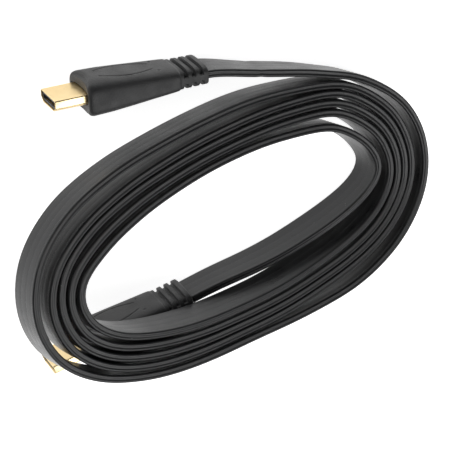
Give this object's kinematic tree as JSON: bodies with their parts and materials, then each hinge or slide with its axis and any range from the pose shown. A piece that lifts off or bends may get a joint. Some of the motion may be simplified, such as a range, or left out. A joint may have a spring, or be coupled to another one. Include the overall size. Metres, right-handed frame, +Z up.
{
  "type": "flat video cable",
  "caption": "Flat black video cable wound into an oval coil, with a gold-tipped plug moulded on each end.",
  "frame": {"origin": "on the surface that the cable lies on, under the middle of the whole part's box", "axes": "+Z up; +X along the coil's long way, from the end that rests on plug b to the end on the surface"},
  "size_m": [0.1766, 0.119, 0.042],
  "materials": {
    "ribbon": "satin black PVC",
    "moulding": "fine matt black PVC",
    "shell": "bright gold plating",
    "insulator": "dark grey moulded plastic"
  },
  "bodies": {
    "root": {"cable_coil": "ribbon", "cable_lead_a": "ribbon", "cable_lead_b": "ribbon", "plug_a_moulding": "moulding", "plug_a_shell": "shell", "plug_a_insulator": "insulator", "plug_b_moulding": "moulding", "plug_b_shell": "shell", "plug_b_insulator": "insulator"}
  },
  "joints": []
}
